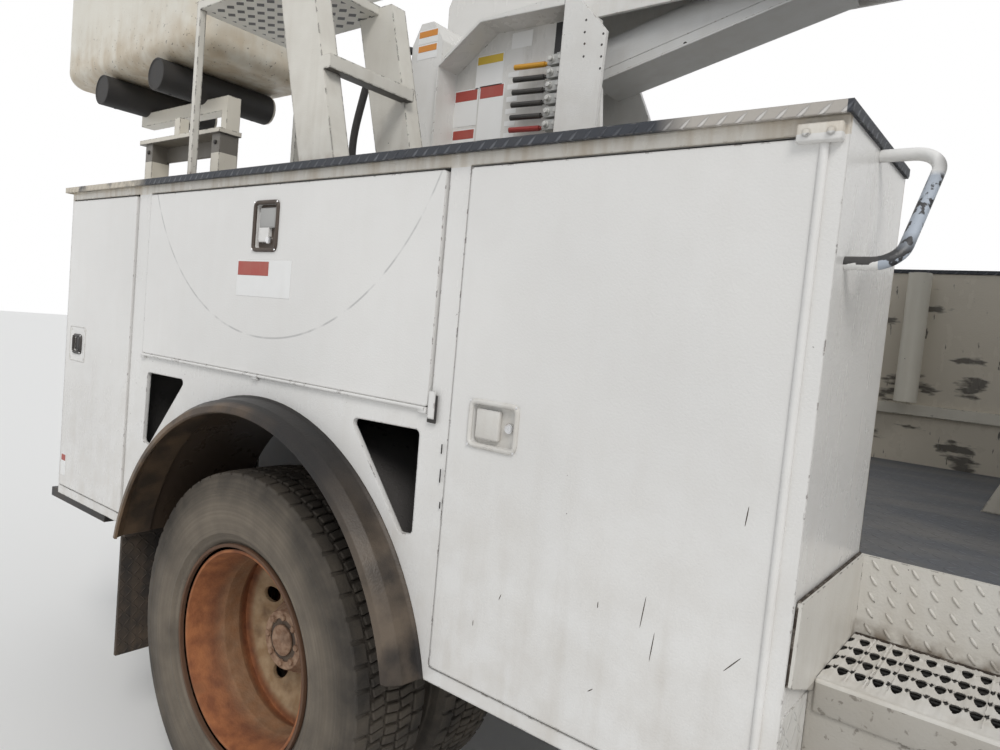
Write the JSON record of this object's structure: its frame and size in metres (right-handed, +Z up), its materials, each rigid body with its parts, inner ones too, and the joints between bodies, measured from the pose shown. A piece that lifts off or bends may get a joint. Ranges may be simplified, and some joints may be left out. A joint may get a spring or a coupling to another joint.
{
  "type": "bucket truck",
  "caption": "Bucket truck with a conventional cab, a service body of side lockers, and a folding boom on a turning turret with its bucket stowed over the tail.",
  "frame": {"origin": "on the ground under the middle of the whole outline, with the wheels standing on z = 0", "axes": "+X to the front bumper, +Y to the street side, +Z up; the curb side, which the picture shows, is -Y"},
  "size_m": [7.058, 2.6, 3.5],
  "materials": {
    "frame_black": "satin",
    "iron_black": "matte",
    "body_white": "gloss",
    "boom_white": "gloss",
    "boom_fibreglass": "gloss",
    "rim_rust": "matte",
    "tyre_black": "matte",
    "rubber_black": "matte",
    "deck_dark": "matte",
    "tank_aluminium": "satin",
    "window_glass": "gloss",
    "mirror_black": "satin",
    "seat_fabric": "matte",
    "trim_plastic": "matte",
    "grille_metal": "satin",
    "lamp_clear": "gloss",
    "lamp_red": "gloss",
    "step_white": "satin",
    "bucket_fibreglass": "gloss",
    "control_metal": "satin",
    "rod_chrome": "polished"
  },
  "bodies": {
    "chassis": {"arch_flares": "rubber_black", "battery_box": "frame_black", "bed_floor": "deck_dark", "bed_rails": "step_white", "boom_rest": "step_white", "bucket_rest": "step_white", "cab_glass": "window_glass", "cab_shell": "body_white", "curb_compartments": "body_white", "dashboard": "trim_plastic", "engine_block": "iron_black", "frame_rails": "frame_black", "front_axle": "iron_black", "front_bumper": "frame_black", "fuel_tank": "tank_aluminium", "leaf_springs": "frame_black", "mud_flaps": "rubber_black", "pedestal": "boom_white", "rear_axle": "iron_black", "seats": "seat_fabric", "side_steps": "step_white", "step_stand": "step_white", "street_compartments": "body_white", "tail_lamps": "lamp_red", "top_plates": "step_white"},
    "steer_curb": {"knuckle_curb": "iron_black"},
    "steer_street": {"knuckle_street": "iron_black"},
    "front_wheel_curb": {"front_tyre_curb": "tyre_black", "front_rim_curb": "rim_rust"},
    "front_wheel_street": {"front_tyre_street": "tyre_black", "front_rim_street": "rim_rust"},
    "rear_wheels_curb": {"rear_tyres_curb": "tyre_black", "rear_rims_curb": "rim_rust"},
    "rear_wheels_street": {"rear_tyres_street": "tyre_black", "rear_rims_street": "rim_rust"},
    "hood_lid": {"hood": "body_white", "grille": "grille_metal", "headlamps": "lamp_clear"},
    "cab_door_curb": {"cab_door_curb": "body_white", "door_glass_curb": "window_glass", "mirror_curb": "mirror_black"},
    "cab_door_street": {"cab_door_street": "body_white", "door_glass_street": "window_glass", "mirror_street": "mirror_black"},
    "turret": {"turret": "boom_white", "lower_controls": "control_metal"},
    "lift_barrel": {"lift_barrel": "boom_white"},
    "lift_rod": {"lift_rod": "rod_chrome"},
    "lower_boom": {"lower_boom": "boom_white"},
    "elbow": {"elbow_plate": "boom_white"},
    "upper_boom": {"upper_boom": "boom_fibreglass"},
    "bucket": {"bucket_arm": "boom_white", "bucket": "bucket_fibreglass"},
    "curb_drop_door": {"curb_drop_door": "body_white"},
    "curb_front_door": {"curb_front_door": "body_white"},
    "curb_rear_door": {"curb_rear_door": "body_white"},
    "street_drop_door": {"street_drop_door": "body_white"},
    "street_forward_door": {"street_forward_door": "body_white"},
    "street_front_door": {"street_front_door": "body_white"},
    "street_rear_door": {"street_rear_door": "body_white"}
  },
  "joints": [
    {"name": "steer_curb", "type": "hinge", "parent": "chassis", "child": "steer_curb", "pos_m": [2.689, -0.86, 0.508], "axis": [0, 0, 1], "range_deg": [-35, 35]},
    {"name": "front_wheel_curb_spin", "type": "hinge", "parent": "steer_curb", "child": "front_wheel_curb", "pos_m": [2.689, -1.02, 0.508], "axis": [0, 1, 0], "continuous": true},
    {"name": "rear_wheels_curb_spin", "type": "hinge", "parent": "chassis", "child": "rear_wheels_curb", "pos_m": [-1.271, -0.888, 0.508], "axis": [0, 1, 0], "continuous": true},
    {"name": "steer_street", "type": "hinge", "parent": "chassis", "child": "steer_street", "pos_m": [2.689, 0.86, 0.508], "axis": [0, 0, 1], "range_deg": [-35, 35]},
    {"name": "front_wheel_street_spin", "type": "hinge", "parent": "steer_street", "child": "front_wheel_street", "pos_m": [2.689, 1.02, 0.508], "axis": [0, 1, 0], "continuous": true},
    {"name": "rear_wheels_street_spin", "type": "hinge", "parent": "chassis", "child": "rear_wheels_street", "pos_m": [-1.271, 0.888, 0.508], "axis": [0, 1, 0], "continuous": true},
    {"name": "hood_tilt", "type": "hinge", "parent": "chassis", "child": "hood_lid", "pos_m": [3.429, 0, 0.83], "axis": [0, 1, 0], "range_deg": [0, 70]},
    {"name": "cab_door_curb_swing", "type": "hinge", "parent": "chassis", "child": "cab_door_curb", "pos_m": [2.129, -1.003, 1.4], "axis": [0, 0, 1], "range_deg": [0, 65]},
    {"name": "curb_rear_door_swing", "type": "hinge", "parent": "chassis", "child": "curb_rear_door", "pos_m": [-1.921, -1.2, 1.273], "axis": [0, 0, 1], "range_deg": [0, 90]},
    {"name": "curb_drop_door_fold", "type": "hinge", "parent": "chassis", "child": "curb_drop_door", "pos_m": [-1.213, -1.2, 1.295], "axis": [1, 0, 0], "range_deg": [0, 90]},
    {"name": "curb_front_door_swing", "type": "hinge", "parent": "chassis", "child": "curb_front_door", "pos_m": [0.133, -1.2, 1.273], "axis": [0, 0, 1], "range_deg": [0, 90]},
    {"name": "cab_door_street_swing", "type": "hinge", "parent": "chassis", "child": "cab_door_street", "pos_m": [2.129, 1.003, 1.4], "axis": [0, 0, -1], "range_deg": [0, 65]},
    {"name": "street_rear_door_swing", "type": "hinge", "parent": "chassis", "child": "street_rear_door", "pos_m": [-1.921, 1.2, 1.273], "axis": [0, 0, -1], "range_deg": [0, 90]},
    {"name": "street_drop_door_fold", "type": "hinge", "parent": "chassis", "child": "street_drop_door", "pos_m": [-1.213, 1.2, 1.295], "axis": [-1, 0, 0], "range_deg": [0, 90]},
    {"name": "street_front_door_swing", "type": "hinge", "parent": "chassis", "child": "street_front_door", "pos_m": [0.133, 1.2, 1.273], "axis": [0, 0, -1], "range_deg": [0, 90]},
    {"name": "street_forward_door_swing", "type": "hinge", "parent": "chassis", "child": "street_forward_door", "pos_m": [0.719, 1.2, 1.273], "axis": [0, 0, -1], "range_deg": [0, 90]},
    {"name": "turret_turn", "type": "hinge", "parent": "chassis", "child": "turret", "pos_m": [-1.141, 0, 1.78], "axis": [0, 0, 1], "continuous": true},
    {"name": "lower_boom_raise", "type": "hinge", "parent": "turret", "child": "lower_boom", "pos_m": [-1.441, 0, 2.78], "axis": [0, -1, 0], "range_deg": [0, 80]},
    {"name": "lift_barrel_tilt", "type": "hinge", "parent": "turret", "child": "lift_barrel", "pos_m": [-1.151, 0, 2.4], "axis": [0, -1, 0], "range_deg": [0, 75.5]},
    {"name": "lift_rod_slide", "type": "slide", "parent": "lift_barrel", "child": "lift_rod", "axis": [0.9737, 0, 0.2276], "range_m": [0, 0.6]},
    {"name": "elbow_level", "type": "hinge", "parent": "lower_boom", "child": "elbow", "pos_m": [3.179, 0, 3.02], "axis": [0, -1, 0], "range_deg": [-80, 0]},
    {"name": "upper_boom_unfold", "type": "hinge", "parent": "elbow", "child": "upper_boom", "pos_m": [3.179, 0, 3.02], "axis": [0, 1, 0], "range_deg": [0, 130]},
    {"name": "bucket_level", "type": "hinge", "parent": "upper_boom", "child": "bucket", "pos_m": [-2.871, 0, 3.13], "axis": [0, 1, 0], "range_deg": [-130, 0]}
  ],
  "couplings": [
    {"joint": "steer_street", "follows": "steer_curb", "ratio": 1},
    {"joint": "lift_barrel_tilt", "follows": "lower_boom_raise", "ratio": 0.9434},
    {"joint": "lift_rod_slide", "follows": "lower_boom_raise", "m_per_rad": 0.4282},
    {"joint": "elbow_level", "follows": "lower_boom_raise", "ratio": -1},
    {"joint": "bucket_level", "follows": "upper_boom_unfold", "ratio": -1}
  ]
}
